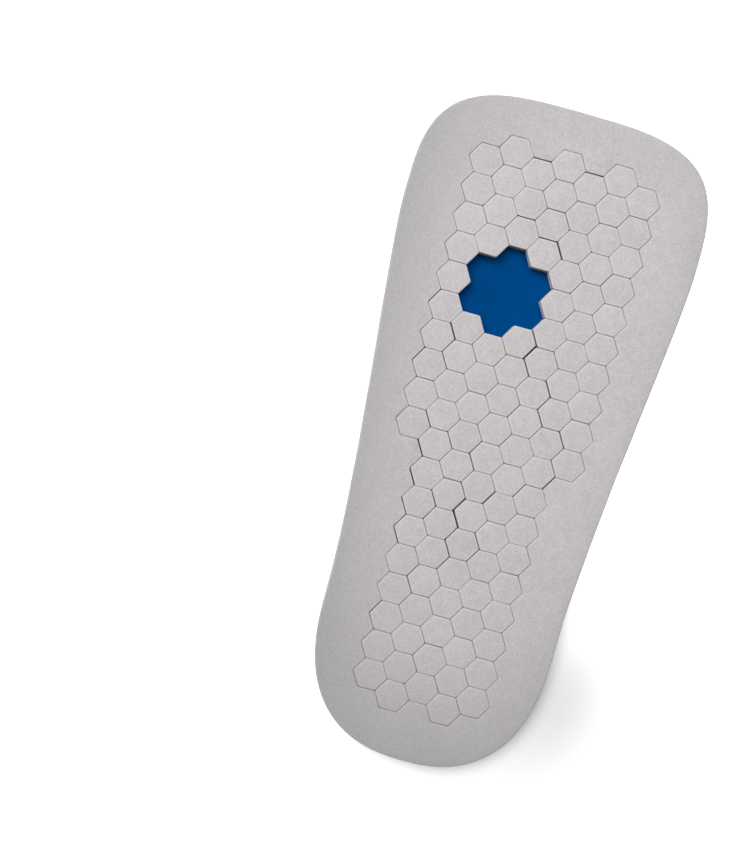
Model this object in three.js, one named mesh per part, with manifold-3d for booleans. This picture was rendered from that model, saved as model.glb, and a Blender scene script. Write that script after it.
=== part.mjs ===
// Off-loading insole: three foam plies cut to one outline, with a field of hexagonal plugs cut
// through the two upper plies. Seven plugs are out, which leaves a relief opening under the
// forefoot. Sizes are in millimetres. X runs across the foot, Y from heel to toe, Z up from the
// floor, and the origin is in the middle of the underside.

import * as THREE from 'three';
import { mergeVertices } from 'three/addons/utils/BufferGeometryUtils.js';
import Module from 'manifold-3d';

// Outline, the same on both sides of the midline
const insoleLength = 284;
const ballWidth = 127;
const heelWidth = 100.4;
const toeRoundLength = 51.2; // from the toe tip back to the widest line
const heelRoundLength = 59; // from the heel tip forward to the heel width
const toeSquareness = 3.37; // superellipse exponent, where 2 is a plain ellipse
const heelSquareness = 2.44;
const ballSweep = 29.2; // how far the widest line leads the side before it turns in
const heelSweep = 59.4; // how far the heel width leads the side before it turns out

// Plies, from the floor up
const baseThickness = 3.2;
const coreThickness = 3.2;
const topThickness = 3.2;
const outerEdgeRound = 0.8;

// Hexagonal plugs
const plugPitch = 12.7; // centre to centre along a column
const columnPitch = 11.34; // centre to centre of neighbouring columns
const kerf = 0.5; // width of the cut round every plug
const cutEdgeRound = 0.4; // soft edge that the cutting die leaves on top
const filmThickness = 0.6; // film at the foot of the cut that holds a row together
const filmWidth = 4;
const filmRoot = 1; // how far the film runs into each plug

// Plug field, in a wide block under the forefoot and a narrow one behind it
const endMargin = 17; // solid foam left at the toe tip, and at least this at the heel tip
const rimWidth = 14; // least solid foam beside the plugs at the ball width and the heel width
const forefootFieldLength = 134;

// Relief opening: the plugs round the one nearest to this spot are out
const reliefAside = -11;
const reliefFromToe = 80;
const reliefRadius = 15;

// Fineness of the faceted curves
const toeSteps = 11;
const sideSteps = 12;
const heelSteps = 10;
const roundSteps = 2;

const wasm = await Module();
wasm.setup();

const toeTip = insoleLength / 2;
const heelTip = -insoleLength / 2;
const coreBottom = baseThickness;
const topBottom = coreBottom + coreThickness;
const topFace = topBottom + topThickness;

const materials = {
  base: new THREE.MeshStandardMaterial({ color: 0x0a4f96, roughness: 0.85, metalness: 0 }),
  core: new THREE.MeshStandardMaterial({ color: 0xe6dfda, roughness: 0.9, metalness: 0 }),
  top: new THREE.MeshStandardMaterial({ color: 0xc6c3c6, roughness: 0.92, metalness: 0 }),
};

// Points on a quarter of a superellipse, from its end on the midline to its widest point
function quarterRound(halfWidth, depth, exponent, steps) {
  return Array.from({ length: steps + 1 }, (_, step) => {
    const angle = (step / steps) * (Math.PI / 2);
    const across = halfWidth * Math.sin(angle) ** (2 / exponent);
    const along = depth * Math.max(Math.cos(angle), 0) ** (2 / exponent);
    return new THREE.Vector2(across, along);
  });
}

// The right half of the outline, from the toe tip down to the heel tip
function rightHalf() {
  const ballLine = toeTip - toeRoundLength;
  const heelLine = heelTip + heelRoundLength;
  const side = new THREE.CubicBezierCurve(
    new THREE.Vector2(ballWidth / 2, ballLine),
    new THREE.Vector2(ballWidth / 2, ballLine - ballSweep),
    new THREE.Vector2(heelWidth / 2, heelLine + heelSweep),
    new THREE.Vector2(heelWidth / 2, heelLine),
  );
  const toe = quarterRound(ballWidth / 2, toeRoundLength, toeSquareness, toeSteps);
  const heel = quarterRound(heelWidth / 2, heelRoundLength, heelSquareness, heelSteps);
  return [
    ...toe.map((point) => new THREE.Vector2(point.x, ballLine + point.y)),
    ...side.getPoints(sideSteps).slice(1, -1),
    ...heel.reverse().map((point) => new THREE.Vector2(point.x, heelLine - point.y)),
  ];
}

function insoleOutline() {
  const right = rightHalf();
  const left = right.slice(1, -1).reverse().map((point) => new THREE.Vector2(-point.x, point.y));
  return [...right, ...left];
}

const outline = insoleOutline();

// How many columns of plugs stand on each side of the middle one in a block of this width
function columnsBeside(width) {
  return Math.floor((width / 2 - rimWidth - (2 / 3) * columnPitch) / columnPitch);
}

// Every cell of the field, whose flat edges face the toe and the heel. Odd columns sit half a
// pitch nearer to the heel.
function fieldCells() {
  const cells = [];
  const fieldStart = toeTip - endMargin;
  const fieldEnd = heelTip + endMargin;
  const rows = Math.floor((fieldStart - fieldEnd) / plugPitch);
  for (let row = 0; row < rows; row += 1) {
    const underForefoot = (row + 1.5) * plugPitch <= forefootFieldLength;
    const reach = columnsBeside(underForefoot ? ballWidth : heelWidth);
    for (let column = -reach; column <= reach; column += 1) {
      const stagger = column % 2 === 0 ? 0.5 : 1;
      const centre = new THREE.Vector2(
        column * columnPitch,
        fieldStart - plugPitch * (row + stagger),
      );
      if (centre.y - plugPitch / 2 >= fieldEnd) cells.push({ column, row, centre });
    }
  }
  return cells;
}

// The cells in the relief opening: the one nearest to the named spot and those round it
function reliefCells(cells) {
  const spot = new THREE.Vector2(reliefAside, toeTip - reliefFromToe);
  const byDistance = [...cells].sort((a, b) => (
    a.centre.distanceTo(spot) - b.centre.distanceTo(spot)
  ));
  const middle = byDistance[0].centre;
  return new Set(cells.filter((cell) => cell.centre.distanceTo(middle) < reliefRadius));
}

function toSolid(geometry) {
  const bare = geometry.clone();
  bare.deleteAttribute('normal');
  bare.deleteAttribute('uv');
  const merged = mergeVertices(bare);
  const corners = merged.index.array;
  const triVerts = [];
  for (let i = 0; i < corners.length; i += 3) {
    const [a, b, c] = corners.slice(i, i + 3);
    const collapsed = a === b || b === c || c === a;
    if (!collapsed) triVerts.push(a, b, c);
  }
  return new wasm.Manifold(new wasm.Mesh({
    numProp: 3,
    vertProperties: new Float32Array(merged.attributes.position.array),
    triVerts: new Uint32Array(triVerts),
  }));
}

function toMesh(solid, name, material) {
  const { vertProperties, triVerts } = solid.getMesh();
  const geometry = new THREE.BufferGeometry();
  geometry.setAttribute('position', new THREE.BufferAttribute(vertProperties, 3));
  geometry.setIndex(new THREE.BufferAttribute(triVerts, 1));
  geometry.computeVertexNormals();
  const mesh = new THREE.Mesh(geometry, material);
  mesh.name = name;
  return mesh;
}

function slab(bottom, top) {
  const geometry = new THREE.BoxGeometry(2 * ballWidth, 2 * insoleLength, top - bottom);
  geometry.translate(0, 0, (bottom + top) / 2);
  return toSolid(geometry);
}

// The outline as a block with both rims rounded, from which each ply keeps its own layer
function outlineBlock() {
  const geometry = new THREE.ExtrudeGeometry(new THREE.Shape(outline), {
    depth: topFace - 2 * outerEdgeRound,
    bevelThickness: outerEdgeRound,
    bevelSize: outerEdgeRound,
    bevelOffset: -outerEdgeRound,
    bevelSegments: roundSteps,
  });
  geometry.translate(0, 0, outerEdgeRound);
  return toSolid(geometry);
}

// A hexagonal prism with its corners in the cell's directions, from a turned outline of six sides
function hexPrism(centre, profile) {
  const geometry = new THREE.LatheGeometry(profile, 6, Math.PI / 2);
  geometry.rotateX(Math.PI / 2);
  geometry.scale((2 * columnPitch) / (Math.sqrt(3) * plugPitch), 1, 1);
  geometry.translate(centre.x, centre.y, 0);
  return toSolid(geometry);
}

const cornerRadius = (acrossFlats) => acrossFlats / Math.sqrt(3);

function plug(centre) {
  const foot = cornerRadius(plugPitch - kerf);
  const crown = cornerRadius(plugPitch - kerf - 2 * cutEdgeRound);
  return hexPrism(centre, [
    new THREE.Vector2(0, coreBottom),
    new THREE.Vector2(foot, coreBottom),
    new THREE.Vector2(foot, topFace - cutEdgeRound),
    new THREE.Vector2(crown, topFace),
    new THREE.Vector2(0, topFace),
  ]);
}

// What the die takes out of the two frames at one cell, a little past both of their faces
function cellCut(centre) {
  const wall = cornerRadius(plugPitch + kerf);
  const mouth = cornerRadius(plugPitch + kerf + 4 * cutEdgeRound);
  return hexPrism(centre, [
    new THREE.Vector2(0, coreBottom - cutEdgeRound),
    new THREE.Vector2(wall, coreBottom - cutEdgeRound),
    new THREE.Vector2(wall, topFace - cutEdgeRound),
    new THREE.Vector2(mouth, topFace + cutEdgeRound),
    new THREE.Vector2(0, topFace + cutEdgeRound),
  ]);
}

// The strip of film that crosses the cut between two plugs
function film(from, to) {
  const geometry = new THREE.BoxGeometry(kerf + 2 * filmRoot, filmWidth, filmThickness);
  geometry.rotateZ(Math.atan2(to.y - from.y, to.x - from.x));
  geometry.translate((from.x + to.x) / 2, (from.y + to.y) / 2, coreBottom + filmThickness / 2);
  return toSolid(geometry);
}

// Splits the cells of one row into runs of neighbouring columns
function neighbourRuns(cells) {
  const runs = [];
  [...cells].sort((a, b) => a.column - b.column).forEach((cell) => {
    const run = runs.at(-1);
    if (run && cell.column === run.at(-1).column + 1) run.push(cell);
    else runs.push([cell]);
  });
  return runs;
}

function plugRun(cells) {
  return cells.reduce((solid, cell, i) => {
    const seated = solid.add(plug(cell.centre));
    return i === 0 ? seated : seated.add(film(cells[i - 1].centre, cell.centre));
  }, plug(cells[0].centre));
}

function plugRows(cells) {
  const meshes = [];
  const rows = [...new Set(cells.map((cell) => cell.row))].sort((a, b) => a - b);
  rows.forEach((row) => {
    const runs = neighbourRuns(cells.filter((cell) => cell.row === row));
    runs.forEach((run, i) => {
      const letter = runs.length > 1 ? String.fromCharCode(97 + i) : '';
      const name = `plug_row_${String(row + 1).padStart(2, '0')}${letter}`;
      meshes.push(toMesh(plugRun(run), name, materials.top));
    });
  });
  return meshes;
}

const cells = fieldCells();
const relief = reliefCells(cells);
const block = outlineBlock();
const field = cells.map((cell) => cellCut(cell.centre)).reduce((cut, cell) => cut.add(cell));

const baseSheet = block.intersect(slab(0, coreBottom));
const coreFrame = block.intersect(slab(coreBottom, topBottom)).subtract(field);
const topFrame = block.intersect(slab(topBottom, topFace)).subtract(field);

const insole = new THREE.Group();
insole.add(
  toMesh(baseSheet, 'base_sheet', materials.base),
  toMesh(coreFrame, 'core_frame', materials.core),
  toMesh(topFrame, 'top_frame', materials.top),
  ...plugRows(cells.filter((cell) => !relief.has(cell))),
);

export default insole;
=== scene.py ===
import math
import random

import bmesh
import bpy
from mathutils import Matrix, Vector, noise


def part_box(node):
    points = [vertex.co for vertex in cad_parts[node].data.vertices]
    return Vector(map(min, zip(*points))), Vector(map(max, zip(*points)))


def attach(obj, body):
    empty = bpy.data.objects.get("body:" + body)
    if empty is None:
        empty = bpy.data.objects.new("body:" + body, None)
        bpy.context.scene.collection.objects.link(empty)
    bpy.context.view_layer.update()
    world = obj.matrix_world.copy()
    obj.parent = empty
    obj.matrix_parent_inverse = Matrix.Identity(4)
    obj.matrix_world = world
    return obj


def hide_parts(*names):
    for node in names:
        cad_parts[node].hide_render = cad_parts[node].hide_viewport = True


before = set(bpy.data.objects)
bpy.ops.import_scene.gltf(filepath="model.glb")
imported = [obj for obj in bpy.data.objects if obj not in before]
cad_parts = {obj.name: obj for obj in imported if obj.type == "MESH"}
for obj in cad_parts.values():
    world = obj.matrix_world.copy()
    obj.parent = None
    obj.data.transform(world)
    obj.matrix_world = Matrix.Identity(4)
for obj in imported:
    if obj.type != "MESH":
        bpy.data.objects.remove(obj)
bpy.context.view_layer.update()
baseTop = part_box("base_sheet")[1].z
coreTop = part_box("core_frame")[1].z
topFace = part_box("top_frame")[1].z
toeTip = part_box("top_frame")[1].y
print("frame loaded, plies end at", round(baseTop, 5), round(coreTop, 5), round(topFace, 5))

cameraView = {
    "place": (-0.05536, 0.00745, 0.5),
    "aim": (-0.04902, -0.00766, 0.0),
    "up": (-0.2685, 0.9627, 0.0),  # the toe leans to the top right of the picture
    "lens": 49.33,
    "sensor": 36.0,
}


def addCamera(view):
    bpy.ops.object.camera_add(location=view["place"])
    camera = bpy.context.object
    backward = (Vector(view["place"]) - Vector(view["aim"])).normalized()
    right = Vector(view["up"]).cross(backward).normalized()
    upward = backward.cross(right)
    camera.rotation_euler = Matrix((right, upward, backward)).transposed().to_euler()
    camera.data.lens = view["lens"]
    camera.data.sensor_width = view["sensor"]
    bpy.context.scene.camera = camera


addCamera(cameraView)
print("camera placed")

honeycomb = {
    "pitch": 0.0127,  # centre to centre along a column
    "columnPitch": 0.01134,  # centre to centre of neighbouring columns
    "toeMargin": 0.017,  # solid foam between the toe tip and the first row
    "outermost": 9,  # no column is further from the middle one than this
    "weld": 0.0005,
}
pitch, columnPitch = honeycomb["pitch"], honeycomb["columnPitch"]
fieldStart = toeTip - honeycomb["toeMargin"]
stretch = 2 * columnPitch / (math.sqrt(3) * pitch)  # a cell's width against a regular hexagon's


def cellCentre(column, row):
    stagger = 0.5 if column % 2 == 0 else 1.0
    return Vector((column * columnPitch, fieldStart - pitch * (row + stagger)))


def rowColumns():
    # Which columns stand in each row's node, and which cells the whole field has
    outermost = honeycomb["outermost"]
    inNode, spans = {}, {}
    for node in sorted(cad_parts):
        if not node.startswith("plug_row_"):
            continue
        low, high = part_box(node)
        row = int(node[9:11]) - 1
        columns = [c for c in range(-outermost, outermost + 1) if low.x < c * columnPitch < high.x]
        inNode[node] = [(column, row) for column in columns]
        spans.setdefault(row, []).extend(columns)
    wholeField = [
        (column, row)
        for row, columns in spans.items()
        for column in range(min(columns), max(columns) + 1)
    ]
    return inNode, wholeField


plugsInNode, wholeField = rowColumns()
print(sum(map(len, plugsInNode.values())), "plugs in a field of", len(wholeField), "cells")


def activate(piece):
    bpy.ops.object.select_all(action="DESELECT")
    piece.select_set(True)
    bpy.context.view_layer.objects.active = piece


def editing(piece):
    activate(piece)
    bpy.ops.object.mode_set(mode="EDIT")
    bpy.ops.mesh.select_all(action="DESELECT")


def doneEditing():
    bpy.ops.object.mode_set(mode="OBJECT")


def pick(piece, kind, wanted):
    # Selects the vertices, edges or faces that pass the test, and nothing else
    bpy.ops.mesh.select_mode(type={"verts": "VERT", "edges": "EDGE", "faces": "FACE"}[kind])
    bpy.ops.mesh.select_all(action="DESELECT")
    shape = bmesh.from_edit_mesh(piece.data)
    for part in getattr(shape, kind):
        if wanted(part):
            part.select_set(True)
    shape.select_flush_mode()
    bmesh.update_edit_mesh(piece.data)


def joined(pieces, name):
    activate(pieces[0])
    for piece in pieces:
        piece.select_set(True)
    if len(pieces) > 1:
        bpy.ops.object.join()
    whole = bpy.context.object
    whole.name = name
    return whole


outlineSizes = {
    "length": 0.284,
    "ballWidth": 0.127,
    "heelWidth": 0.1004,
    "toeRoundLength": 0.0512,
    "heelRoundLength": 0.059,
    "toeSquareness": 3.37,
    "heelSquareness": 2.44,
    "ballSweep": 0.0292,
    "heelSweep": 0.0594,
    "curveSteps": 60,  # fineness of each curve before its points are spaced evenly
    "points": 264,
}


def quarterRound(halfWidth, depth, exponent, steps):
    angles = [math.pi / 2 * step / steps for step in range(steps + 1)]
    return [
        Vector((
            halfWidth * math.sin(angle) ** (2 / exponent),
            depth * max(math.cos(angle), 0) ** (2 / exponent),
        ))
        for angle in angles
    ]


def sideSweep(start, startPull, endPull, end, steps):
    points = []
    for step in range(1, steps):
        t = step / steps
        points.append(
            start * (1 - t) ** 3 + startPull * 3 * t * (1 - t) ** 2
            + endPull * 3 * t * t * (1 - t) + end * t ** 3
        )
    return points


def evenly(points, count):
    # The same closed line with this many points, evenly spaced along it
    line = points + [points[0]]
    reached = [0.0]
    for a, b in zip(line, line[1:]):
        reached.append(reached[-1] + (b - a).length)
    placed, leg = [], 0
    for number in range(count):
        along = reached[-1] * number / count
        while reached[leg + 1] < along:
            leg += 1
        share = (along - reached[leg]) / max(reached[leg + 1] - reached[leg], 1e-9)
        placed.append(line[leg].lerp(line[leg + 1], share))
    return placed


def insoleOutline(sizes):
    ballLine = sizes["length"] / 2 - sizes["toeRoundLength"]
    heelLine = sizes["heelRoundLength"] - sizes["length"] / 2
    halfBall, halfHeel = sizes["ballWidth"] / 2, sizes["heelWidth"] / 2
    steps = sizes["curveSteps"]
    toe = quarterRound(halfBall, sizes["toeRoundLength"], sizes["toeSquareness"], steps)
    heel = quarterRound(halfHeel, sizes["heelRoundLength"], sizes["heelSquareness"], steps)
    side = sideSweep(
        Vector((halfBall, ballLine)), Vector((halfBall, ballLine - sizes["ballSweep"])),
        Vector((halfHeel, heelLine + sizes["heelSweep"])), Vector((halfHeel, heelLine)), steps,
    )
    right = [Vector((p.x, ballLine + p.y)) for p in toe] + side
    right += [Vector((p.x, heelLine - p.y)) for p in reversed(heel)]
    left = [Vector((-p.x, p.y)) for p in reversed(right[1:-1])]
    return evenly(right + left, sizes["points"])


def outwardAt(points, number):
    # The direction away from the inside of a clockwise line, long enough for an even offset
    before = (points[number] - points[number - 1]).normalized()
    after = (points[(number + 1) % len(points)] - points[number]).normalized()
    first, second = Vector((-before.y, before.x)), Vector((-after.y, after.x))
    return (first + second) / (1 + first.dot(second))


def grown(points, distance):
    return [point + outwardAt(points, n) * distance for n, point in enumerate(points)]


def wandering(points, amount, reach, seed):
    # A knife or die never follows its line exactly
    moved = []
    for n, point in enumerate(points):
        drift = noise.noise(Vector((point.x / reach, point.y / reach, seed)))
        moved.append(point + outwardAt(points, n).normalized() * drift * amount)
    return moved


def roundedCorners(points, length, steps, straightSteps):
    line = []
    for n, corner in enumerate(points):
        back = (points[n - 1] - corner).normalized() * length
        ahead = (points[(n + 1) % len(points)] - corner).normalized() * length
        for step in range(steps + 1):
            t = step / steps
            line.append(corner + back * (1 - t) ** 2 + ahead * t ** 2)
        leave, arrive = corner + ahead, points[(n + 1) % len(points)] - ahead
        line += [leave.lerp(arrive, s / straightSteps) for s in range(1, straightSteps)]
    return line


def fieldEdge():
    # Hexagons laid side by side and joined into one face give the zigzag round the field
    for number, (column, row) in enumerate(wholeField):
        centre = cellCentre(column, row)
        bpy.ops.mesh.primitive_circle_add(
            vertices=6, radius=pitch / math.sqrt(3), fill_type="NGON",
            location=(centre.x / stretch, centre.y, 0), rotation=(0, 0, math.radians(30)),
        )
        if number == 0:
            tiles = bpy.context.object
            bpy.ops.object.transform_apply(location=True, rotation=True, scale=True)
            bpy.ops.object.mode_set(mode="EDIT")
    bpy.ops.mesh.select_all(action="SELECT")
    bpy.ops.mesh.remove_doubles(threshold=honeycomb["weld"])
    bpy.ops.mesh.dissolve_faces()
    bpy.ops.transform.resize(value=(stretch, 1, 1), center_override=(0, 0, 0))
    doneEditing()
    face = tiles.data.polygons[0]
    edge = [tiles.data.vertices[v].co.xy.copy() for v in face.vertices]
    bpy.data.objects.remove(tiles)
    turning = sum(a.x * b.y - a.y * b.x for a, b in zip(edge, edge[1:] + edge[:1]))
    return edge if turning < 0 else edge[::-1]  # clockwise, as the outline is


def ribbon(points, profile):
    # A strip round a closed line, from a grid: each row of it lies at an inset and height, and
    # carries an amount of painted lip shade and wear, which is a painted highlight where it is
    # below zero
    around, across = len(points), len(profile)
    bpy.ops.mesh.primitive_grid_add(x_subdivisions=around, y_subdivisions=across - 1, size=0.1)
    strip = bpy.context.object
    lipShade = strip.data.attributes.new("lipShadeAndWearMask", "FLOAT", "POINT")
    rings = [(grown(points, -inset), height, lipShadeAndWear) for inset, height, lipShadeAndWear in profile]
    for number, vertex in enumerate(strip.data.vertices):
        ring, height, lipShadeAndWear = rings[number // (around + 1)]
        point = ring[number % (around + 1) % around]
        vertex.co = (point.x, point.y, height)
        lipShade.data[number].value = lipShadeAndWear
    return strip


def arc(radius, height, up, steps, lipShadeAndWear):
    # Profile points of a rounded rim, from the wall to the face. The lip mark runs from painted
    # shade at the wall to a painted highlight, below zero, at the face
    points = []
    for step in range(steps + 1):
        angle = math.pi / 2 * step / steps
        inset = radius * (1 - math.cos(angle))
        rim = height - up * radius * (1 - math.sin(angle))
        points.append((inset, rim, lipShadeAndWear * (1 - 2 * step / steps)))
    return points


plyEdges = {
    "outerRound": 0.0008,  # the rims at the floor and at the top
    "lineRound": 0.00014,  # the hairline between two plies
    "cutLip": 0.00046,  # where the die went in
    "lipSink": 0.00004,  # how far the lip lies below the face
    "lid": 0.0022,  # how far in the flat face starts, at the outline and at the cut
    "cutLid": 0.0007,
    "gap": 0.00005,  # cut left between neighbouring plugs
    "cornerLength": 0.0004,
    "wander": 0.00016,
    "wanderReach": 0.021,
    "cutWander": 0.00007,
    "cutWanderReach": 0.004,
    "weld": 0.000002,
    "smoothUnder": math.radians(40),
}


outline = insoleOutline(outlineSizes)
cutLine = grown(fieldEdge(), plyEdges["gap"] / 2)
cutLine = roundedCorners(cutLine, plyEdges["cornerLength"], 3, 4)
print("outline of", len(outline), "points, cut line of", len(cutLine))

# Rims are rounded by these radii, below and above, at the outline and at the cut
hairline = plyEdges["lineRound"]
plies = {
    "baseSheet": {
        "from": 0.0, "to": baseTop, "seed": 3.7, "proud": 0.00004, "bulge": 0.00006,
        "rims": (plyEdges["outerRound"], hairline), "cutRims": None,
    },
    "coreFrame": {
        "from": baseTop, "to": coreTop, "seed": 8.1, "proud": 0.00008, "bulge": 0.0001,
        "rims": (hairline, hairline), "cutRims": (hairline, hairline),
    },
    "topFrame": {
        "from": coreTop, "to": topFace, "seed": 5.3, "proud": 0.0, "bulge": 0.00005,
        "rims": (hairline, plyEdges["outerRound"]), "cutRims": (hairline, plyEdges["cutLip"]),
    },
}


def closedPly(name):
    e, ply = plyEdges, plies[name]
    bottom, top = ply["from"], ply["to"]
    low, high = ply["rims"]
    profile = [(e["lid"], bottom, 0)] + arc(low, bottom, -1, 4, 0)[::-1]
    profile += [(-ply["bulge"], (bottom + top) / 2, 0)] + arc(high, top, 1, 5, 0)
    profile.append((e["lid"], top, 0))
    edge = wandering(outline, e["wander"], e["wanderReach"], ply["seed"])
    strips = [ribbon(grown(edge, ply["proud"]), profile)]
    if ply["cutRims"]:
        low, high = ply["cutRims"]
        profile = [(-e["cutLid"], bottom, 0)]
        profile += [(-inset, height, 0) for inset, height, _ in arc(low, bottom, -1, 3, 0)[::-1]]
        sink = e["lipSink"] if high > low else 0
        profile += [(-i, height - sink, w) for i, height, w in arc(high, top, 1, 4, 1.0)]
        profile.append((-e["cutLid"], top, 0))
        cut = wandering(cutLine, e["cutWander"], e["cutWanderReach"], ply["seed"])
        strips.append(ribbon(cut, profile))
    sheet = joined(strips, name + "Foam")
    editing(sheet)
    bpy.ops.mesh.select_all(action="SELECT")
    bpy.ops.mesh.remove_doubles(threshold=e["weld"])
    for level in (bottom, top):
        pick(sheet, "edges", lambda edge: edge.is_boundary and all(
            abs(v.co.z - level) < 1e-6 for v in edge.verts))
        bpy.ops.mesh.fill()
    bpy.ops.mesh.select_all(action="SELECT")
    bpy.ops.mesh.normals_make_consistent(inside=False)
    doneEditing()
    bpy.ops.object.shade_smooth_by_angle(angle=e["smoothUnder"])
    return sheet


baseSheet, coreFrame, topFrame = (closedPly(name) for name in plies)
print("plies modelled,", [len(p.data.polygons) for p in (baseSheet, coreFrame, topFrame)], "faces")

plugSizes = {
    "cornerRound": 0.0004,
    "lip": 0.00046,
    "foot": 0.00012,
    "glueGroove": 0.00007,
    "grooveReach": 0.00014,
    "crownShares": (0.86, 0.62),  # each ring of the crown against the one outside it
    "crownRise": 0.00006,
    "shift": 0.00005,
    "turn": 0.3,  # degrees
    "height": 0.00006,
    "heightShares": (-1, 0.6),  # plugs sit low more often than high
    "tilt": 0.004,  # rise over run
    "toneSpread": 0.5,
}

sideWays = {
    "toe": (0, 1), "heel": (0, -1), "rightHeel": (columnPitch, -pitch / 2),
    "leftHeel": (-columnPitch, -pitch / 2), "leftToe": (-columnPitch, pitch / 2),
}

cutWidths = {"gaping": 0.00054, "wide": 0.00036, "open": 0.00026, "ajar": 0.00016}

# Which side of which plug, by column and row, has a cut that stands open
openCuts = {
    "toe": {"wide": [(1, 0)], "open": [(-1, 0)]},
    "heel": {"open": [(0, 2)], "ajar": [(0, 1), (-1, 1), (-1, 10), (0, 16)]},
    "rightHeel": {
        "gaping": [(0, 6), (-1, 11)],
        "wide": [(0, 11), (2, 10)],
        "open": [(1, 7), (-1, 12)],
        "ajar": [
            (2, 3), (1, 4), (-3, 6), (0, 8), (-1, 9), (0, 9), (2, 9), (-1, 10), (1, 10),
            (-2, 12), (-1, 13), (0, 13), (-2, 14),
        ],
    },
    "leftHeel": {
        "gaping": [(1, 2), (-2, 6), (0, 12)],
        "wide": [(1, 5), (1, 6), (2, 7), (-2, 10), (-2, 11)],
        "open": [(2, 8), (3, 8), (-2, 9), (0, 10), (-1, 11), (0, 13), (-2, 13)],
        "ajar": [
            (1, 1), (-1, 6), (-2, 7), (-1, 9), (3, 9), (0, 11), (-2, 12), (1, 12), (-1, 14),
        ],
    },
    "leftToe": {"ajar": [(-3, 5), (-3, 7), (-2, 13), (-2, 16)]},
}


def modelPlug():
    s = plugSizes
    rise = s["crownRise"] * len(s["crownShares"])
    top = topFace - rise
    bpy.ops.mesh.primitive_cylinder_add(
        vertices=6, radius=(pitch - plyEdges["gap"]) / math.sqrt(3), depth=top - baseTop,
        location=(0, 0, (baseTop + top) / 2), rotation=(0, 0, math.radians(30)),
    )
    plug = bpy.context.object
    plug.name = "plugPattern"
    bpy.ops.object.transform_apply(location=True, rotation=True, scale=True)
    editing(plug)
    bpy.ops.mesh.select_all(action="SELECT")
    bpy.ops.transform.resize(value=(stretch, 1, 1), center_override=(0, 0, 0))
    pick(plug, "edges", lambda edge: abs(edge.verts[0].co.z - edge.verts[1].co.z) > 0.001)
    bpy.ops.mesh.bevel(offset=s["cornerRound"], segments=3, affect="EDGES")
    for level in (coreTop - s["grooveReach"], coreTop, coreTop + s["grooveReach"]):
        bpy.ops.mesh.select_all(action="SELECT")
        bpy.ops.mesh.bisect(plane_co=(0, 0, level), plane_no=(0, 0, 1))
    pick(plug, "verts", lambda vertex: abs(vertex.co.z - coreTop) < 1e-6)
    narrower = 1 - s["glueGroove"] / (pitch / 2)
    bpy.ops.transform.resize(value=(narrower, narrower, 1), center_override=(0, 0, 0))
    pick(plug, "edges", lambda edge: all(abs(v.co.z - top) < 1e-6 for v in edge.verts))
    bpy.ops.mesh.bevel(offset=s["lip"], segments=4, affect="EDGES")
    pick(plug, "edges", lambda edge: all(abs(v.co.z - baseTop) < 1e-6 for v in edge.verts))
    bpy.ops.mesh.bevel(offset=s["foot"], segments=2, affect="EDGES")
    pick(plug, "faces", lambda face: face.normal.z > 0.99 and face.calc_area() > 0.00005)
    for share in s["crownShares"]:
        bpy.ops.mesh.extrude_region_move(TRANSFORM_OT_translate={"value": (0, 0, s["crownRise"])})
        bpy.ops.transform.resize(value=(share, share, 1), center_override=(0, 0, top))
    doneEditing()
    bpy.ops.object.shade_smooth_by_angle(angle=plyEdges["smoothUnder"])
    # Painted shade on the lower part of each lip, turning into a painted highlight, below zero, at
    # the face
    lipShade = plug.data.attributes.new("lipShadeAndWearMask", "FLOAT", "POINT")
    for number, vertex in enumerate(plug.data.vertices):
        below = (top - vertex.co.z) / s["lip"]
        lipShade.data[number].value = 2 * below - 1 if -0.01 < below < 1.01 else 0.0
    return plug


def openedSides(plug, cell):
    # Trims the sides where the cut stands open and leaves the next sides on their lines
    for side, cuts in openCuts.items():
        way = Vector(sideWays[side]).normalized()
        along = Vector((-way.y, way.x))
        depth = sum(cutWidths[width] for width, cells in cuts.items() if cell in cells)
        if not depth:
            continue
        for vertex in plug.data.vertices:
            share = vertex.co.xy.dot(way) / (pitch / 4) - 1  # 0 halfway out, 1 at the side
            if share > 0:
                spread = along * vertex.co.xy.dot(along) / (pitch / 2)
                vertex.co.xy += (spread - way) * min(share, 1) * depth


dice = random.Random(41)


def eitherWay(amount):
    return dice.uniform(-1, 1) * amount


def placedPlug(pattern, cell):
    # A copy with its own mesh, a little off in place, turn, height and tone
    s = plugSizes
    centre = cellCentre(*cell)
    shift = Vector((eitherWay(s["shift"]), eitherWay(s["shift"])))
    turn = math.radians(eitherWay(s["turn"]))
    lift = dice.uniform(*s["heightShares"]) * s["height"]
    slopeX, slopeY = eitherWay(s["tilt"]), eitherWay(s["tilt"])
    tone = dice.gauss(0, s["toneSpread"])
    plug = pattern.copy()
    plug.data = pattern.data.copy()
    bpy.context.scene.collection.objects.link(plug)
    openedSides(plug, cell)
    for vertex in plug.data.vertices:
        share = (vertex.co.z - baseTop) / (topFace - baseTop)
        vertex.co.z += share * (lift + slopeX * vertex.co.x + slopeY * vertex.co.y)
    plugTone = plug.data.attributes.new("plugTone", "FLOAT", "POINT")
    plugTone.data.foreach_set("value", [tone] * len(plug.data.vertices))
    plug.location = (centre.x + shift.x, centre.y + shift.y, 0)
    plug.rotation_euler.z = turn
    return plug


def plugRow(pattern, node, cells):
    name = "plugs" + node[9:] + "Foam"
    row = joined([placedPlug(pattern, cell) for cell in cells], name)
    bpy.ops.object.transform_apply(location=True, rotation=True, scale=True)
    return row


plugPattern = modelPlug()
plugRows = {node: plugRow(plugPattern, node, cells) for node, cells in plugsInNode.items()}
print("plug of", len(plugPattern.data.polygons), "faces copied into", len(plugRows), "rows")
bpy.data.objects.remove(plugPattern)


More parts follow.
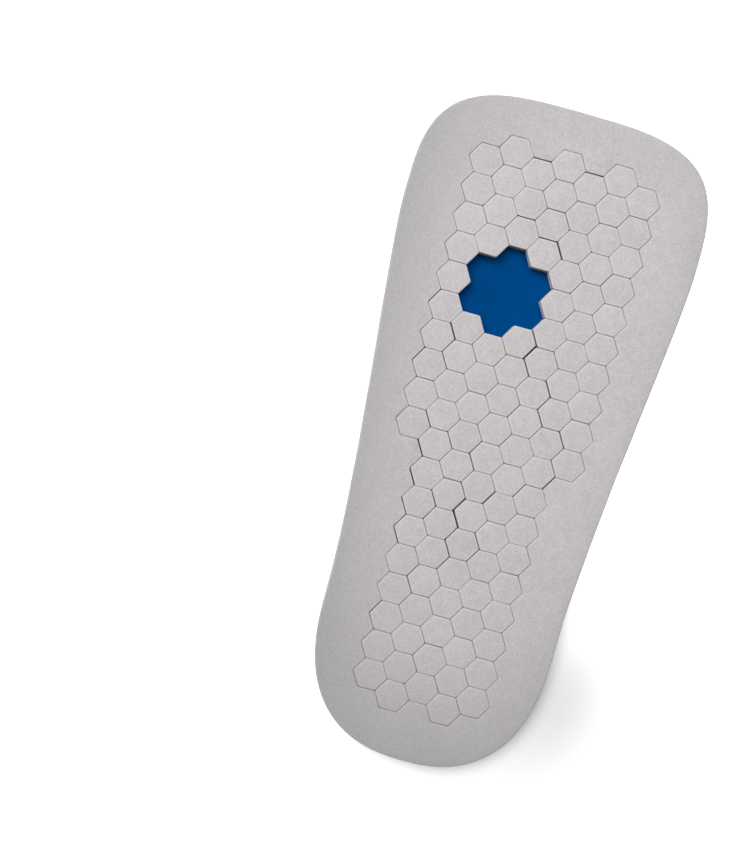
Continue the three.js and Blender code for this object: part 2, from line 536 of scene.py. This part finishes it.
class Wire:
    # A socket of a material, with Python's operators as Math nodes
    def __init__(self, tree, socket=None):
        self.tree, self.socket = tree, socket

    def node(self, kind, settings, inputs, output=0):
        made = self.tree.nodes.new(kind)
        for name, value in settings.items():
            setattr(made, name, value)
        for name, value in inputs.items():
            if isinstance(value, Wire):
                self.tree.links.new(value.socket, made.inputs[name])
            else:
                made.inputs[name].default_value = value
        return Wire(self.tree, made.outputs[output])

    def maths(self, operation, first, second):
        settings = {"operation": operation}
        return self.node("ShaderNodeMath", settings, {0: first, 1: second})

    def __add__(self, other):
        return self.maths("ADD", self, other)

    __radd__ = __add__

    def __sub__(self, other):
        return self.maths("SUBTRACT", self, other)

    def __rsub__(self, other):
        return self.maths("SUBTRACT", other, self)

    def __mul__(self, other):
        return self.maths("MULTIPLY", self, other)

    __rmul__ = __mul__

    def __truediv__(self, other):
        return self.maths("DIVIDE", self, other)

    def __pow__(self, other):
        return self.maths("POWER", self, other)

    def __abs__(self):
        return self.maths("ABSOLUTE", self, 0.0)


def mixed(share, first, second):
    return share.node(
        "ShaderNodeMix", {"data_type": "RGBA", "clamp_factor": True},
        {0: share, 6: first, 7: second}, 2,
    )


def steps(value, start, end):
    # 0 below start, 1 above end and smooth between
    return value.node(
        "ShaderNodeMapRange", {"interpolation_type": "SMOOTHSTEP"},
        {"Value": value, "From Min": start, "From Max": end}, "Result",
    )


foamLooks = {
    "greyTop": {
        "dark": (0.354, 0.336, 0.343, 1), "light": (0.609, 0.579, 0.590, 1),
        "lipShade": (0.455, 0.425, 0.415, 1), "wall": (0.38, 0.355, 0.35, 1),
        "grain": 1.15, "mottle": 0.45, "drift": 0.15, "tone": 0.0,
        "paintedRimShadeAmount": 0.52, "heelWallShadeAmount": 0.0, "bump": 0.4, "sheen": 0.1, "gloss": 0.3,
    },
    "greyPlug": {
        "dark": (0.365, 0.346, 0.353, 1), "light": (0.628, 0.597, 0.608, 1),
        "lipShade": (0.475, 0.445, 0.435, 1), "wall": (0.275, 0.26, 0.295, 1),
        "grain": 1.15, "mottle": 0.45, "drift": 0.1, "tone": 0.045,
        "paintedRimShadeAmount": 0.52, "heelWallShadeAmount": 0.75, "bump": 0.4, "sheen": 0.1, "gloss": 0.3,
    },
    "paleCore": {
        "dark": (0.46, 0.40, 0.36, 1), "light": (0.70, 0.64, 0.60, 1),
        "lipShade": (0.72, 0.68, 0.65, 1), "wall": (0.57, 0.51, 0.485, 1),
        "grain": 0.8, "mottle": 0.5, "drift": 0.2, "tone": 0.0,
        "paintedRimShadeAmount": 0.0, "heelWallShadeAmount": 0.0, "bump": 0.5, "sheen": 0.05, "gloss": 0.3,
    },
    "blueBase": {
        "dark": (0.0, 0.043, 0.164, 1), "light": (0.0, 0.0735, 0.277, 1),
        "lipShade": (0.0, 0.075, 0.27, 1), "wall": (0.0, 0.045, 0.17, 1),
        "grain": 0.4, "mottle": 0.3, "drift": 0.2, "tone": 0.0,
        "paintedRimShadeAmount": 0.0, "heelWallShadeAmount": 0.0, "bump": 0.2, "sheen": 0.0, "gloss": 0.0,
    },
}

# The plugs' pale core gets the painted shade on walls that face the heel as well
foamLooks["plugCore"] = {**foamLooks["paleCore"], "heelWallShadeAmount": 0.6}
heelWallShade = (0.07, 0.03, 0.012, 1)  # painted shade: plug walls that face the heel are darkened to a dark brown, as if little light reached them

# Texture scales are in cells per metre. Pairs are where a mask starts and where it is full.
foamTexture = {
    "skinCells": 2300.0, "openCells": 1250.0,
    "grain": (1500.0, 2.0), "mottle": (230.0, 3.0), "drift": (38.0, 2.0),  # scale and detail
    "noiseRoughness": 0.6,
    "heelward": (0.5, 0.95), "upright": (0.25, 0.75), "pore": (0.55, 0.15),
    "wallCover": 0.85, "poreCover": 0.25,
    "lipShadeCover": 0.55, "lipHighlightBias": 0.22,  # painted lip shade is patchy, and a painted highlight pales the lips where the mottle is high
    "relief": 0.00012, "skinRelief": 0.5, "grainRelief": 0.8,
    "roughness": 0.9, "grainRoughness": 0.12, "wornSmoothness": 0.08, "sheenRoughness": 0.55,
}

# Painted shade: the grey skin is darker towards the heel and the rim, standing in for light that
# falls off there
paintedRimShade = {
    "aside": 0.0069, "ahead": 0.0232, "halfWidth": 0.0679, "widening": 0.065,
    "halfLength": 0.1664, "squareness": 3.5, "from": 0.58, "to": 1.16, "patchy": 0.2,
    "shade": (0.37, 0.4, 0.41),  # of the foam's light tone
}


def axisOf(vector, axis):
    return vector.node("ShaderNodeSeparateXYZ", {}, {0: vector}, axis)


# How far into the painted shade towards the heel and the rim a point lies
def paintedRimShadeShare(place, mottle):
    h = paintedRimShade
    x, y, power = axisOf(place, "X"), axisOf(place, "Y"), h["squareness"]
    across = abs(x - h["aside"]) / (y * h["widening"] + h["halfWidth"])
    along = abs(y - h["ahead"]) / h["halfLength"]
    away = (across ** power + along ** power) ** (1 / power)
    return steps(away + mottle * h["patchy"], h["from"], h["to"])


def foamMaterial(name, look):
    t = foamTexture
    material = bpy.data.materials.new(name)
    material.use_nodes = True
    tree = material.node_tree
    tree.nodes.clear()
    start = Wire(tree)
    place = start.node("ShaderNodeTexCoord", {}, {}, "Object")
    facing = start.node("ShaderNodeTexCoord", {}, {}, "Normal")
    heelward = steps(0 - axisOf(facing, "Y"), *t["heelward"])
    upright = 1 - steps(abs(axisOf(facing, "Z")), *t["upright"])

    def cloud(scale, detail):
        return start.node("ShaderNodeTexNoise", {}, {
            "Vector": place, "Scale": scale, "Detail": detail, "Roughness": t["noiseRoughness"],
        }, 0) - 0.5

    def cellsOf(scale):
        inputs = {"Vector": place, "Scale": scale, "Randomness": 1.0}
        return start.node("ShaderNodeTexVoronoi", {"feature": "F1"}, inputs, "Distance")

    def stored(name):
        return start.node("ShaderNodeAttribute", {"attribute_name": name}, {}, "Fac")

    skinCells, openCells = cellsOf(t["skinCells"]), cellsOf(t["openCells"])
    grain, mottle, drift = cloud(*t["grain"]), cloud(*t["mottle"]), cloud(*t["drift"])
    share = 0.5 + grain * look["grain"] + mottle * look["mottle"] + drift * look["drift"]
    if look["tone"]:
        share = share + look["tone"] * stored("plugTone")
    colour = mixed(share, look["dark"], look["light"])
    pores = upright * steps(openCells, *t["pore"])
    colour = mixed(upright * t["wallCover"], colour, look["wall"])
    colour = mixed(pores * t["poreCover"], colour, look["dark"])
    # Painted shade on the walls that face the heel
    if look["heelWallShadeAmount"]:
        colour = mixed(upright * heelward * look["heelWallShadeAmount"], colour, heelWallShade)
    # Painted shade in the cut groove and a painted highlight towards the light tone at the lip;
    # the same mask smooths the lips' roughness as wear
    lipShadeAndWear = stored("lipShadeAndWearMask")
    colour = mixed(lipShadeAndWear * (t["lipShadeCover"] + mottle), colour, look["lipShade"])
    colour = mixed(lipShadeAndWear * (mottle - t["lipHighlightBias"]), colour, look["light"])
    # Painted shade on the grey skin towards the heel and the rim
    if look["paintedRimShadeAmount"]:
        shade = [level * part for level, part in zip(look["light"], paintedRimShade["shade"])] + [1]
        colour = mixed(paintedRimShadeShare(place, mottle) * look["paintedRimShadeAmount"], colour, shade)
    relief = skinCells * t["skinRelief"] + grain * t["grainRelief"] + upright * openCells
    normal = start.node("ShaderNodeBump", {}, {
        "Strength": look["bump"], "Distance": t["relief"], "Height": relief,
    })
    surface = start.node("ShaderNodeBsdfPrincipled", {}, {
        "Base Color": colour,
        "Roughness": t["roughness"] + grain * t["grainRoughness"] - lipShadeAndWear * t["wornSmoothness"],
        "Normal": normal,
        "Specular IOR Level": look["gloss"],
        "Sheen Weight": look["sheen"],
        "Sheen Roughness": t["sheenRoughness"],
    }, 0)
    output = tree.nodes.new("ShaderNodeOutputMaterial")
    tree.links.new(surface.socket, output.inputs["Surface"])
    return material


foams = {name: foamMaterial(name, look) for name, look in foamLooks.items()}
print("foams mixed:", ", ".join(foams))


def finished(piece, node, materials):
    piece.data.materials.clear()
    for material in materials:
        piece.data.materials.append(foams[material])
    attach(piece, "root")
    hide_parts(node)


finished(baseSheet, "base_sheet", ["blueBase"])
finished(coreFrame, "core_frame", ["paleCore"])
finished(topFrame, "top_frame", ["greyTop"])
for node, row in plugRows.items():
    finished(row, node, ["greyPlug", "plugCore"])
    for face in row.data.polygons:
        face.material_index = 0 if face.center.z > coreTop else 1
print("pieces finished")

studio = {
    "lamps": {
        "key": {"place": (-0.94, 0.76, 2.1), "aim": (0, 0, 0), "size": 1.6, "power": 44.5},
        "sideLamp": {"place": (-2.2, 0.35, 0.9), "aim": (0, 0, 0), "size": 0.8, "power": 9.0},
        "toeLamp": {"place": (0.05, 0.17, 0.45), "aim": (0.05, 0.1, 0), "size": 0.3, "power": 0.6},
    },
    "overhead": (0.05, 0.05, 0.05, 1),  # the room above, and level with the floor
    "horizon": (1, 1, 1, 1),
    "horizonFade": (0.36, 0.5),  # heights between which one gives way to the other, 1 straight up
    "floorSize": 12,
    "floorDrop": 0.00002,
    "floorColour": (0.7, 0.7, 0.7, 1),
    "shadeCentre": (0.035, -0.13, 0),  # shadows show here, and the rest of the floor glows
    "shadeReach": (0.02, 0.11),
    "nearGlow": (0.38, 0.38, 0.38, 1),
    "farGlow": (0.85, 0.85, 0.85, 1),
    "paintedShadowCentre": (0.055, -0.102, 0),  # painted shadow: the floor glows least here, beside the heel, and the lamps' own shadow shows through it
    "paintedShadowReach": (0.0, 0.05),
    "paintedShadowGlow": (0.15, 0.15, 0.15, 1),
}


def addStudio(s):
    for name, lamp in s["lamps"].items():
        bpy.ops.object.light_add(type="AREA", location=lamp["place"])
        light = bpy.context.object
        light.name = name
        light.data.shape = "DISK"
        light.data.size = lamp["size"]
        light.data.energy = lamp["power"]
        light.visible_camera = False
        aim = Vector(lamp["aim"]) - Vector(lamp["place"])
        light.rotation_euler = aim.to_track_quat("-Z", "Y").to_euler()
    world = bpy.data.worlds.new("paleRoom")
    world.use_nodes = True
    sky = Wire(world.node_tree)
    height = axisOf(sky.node("ShaderNodeTexCoord", {}, {}, "Generated"), "Z")
    colour = mixed(steps(height, *s["horizonFade"]), s["horizon"], s["overhead"])
    backdrop = world.node_tree.nodes["Background"].inputs["Color"]
    world.node_tree.links.new(colour.socket, backdrop)
    bpy.context.scene.world = world
    bpy.ops.mesh.primitive_plane_add(size=s["floorSize"], location=(0, 0, -s["floorDrop"]))
    floor = bpy.context.object
    floor.name = "paleFloor"
    paint = bpy.data.materials.new("paleFloorPaint")
    paint.use_nodes = True
    sockets = paint.node_tree.nodes["Principled BSDF"].inputs
    sockets["Base Color"].default_value = s["floorColour"]
    sockets["Roughness"].default_value = 0.9
    sockets["Emission Strength"].default_value = 1.0
    spot = Wire(paint.node_tree).node("ShaderNodeTexCoord", {}, {}, "Object")

    def awayFrom(centre):
        settings = {"operation": "DISTANCE"}
        return spot.node("ShaderNodeVectorMath", settings, {0: spot, 1: centre}, "Value")

    glow = mixed(steps(awayFrom(s["shadeCentre"]), *s["shadeReach"]), s["nearGlow"], s["farGlow"])
    # Painted shadow beside the heel, where the floor glows less
    glow = mixed(steps(awayFrom(s["paintedShadowCentre"]), *s["paintedShadowReach"]), s["paintedShadowGlow"], glow)
    paint.node_tree.links.new(glow.socket, sockets["Emission Color"])
    floor.data.materials.append(paint)
    bpy.context.scene.view_settings.view_transform = "Standard"


addStudio(studio)
print("studio lit")

bpy.context.view_layer.update()
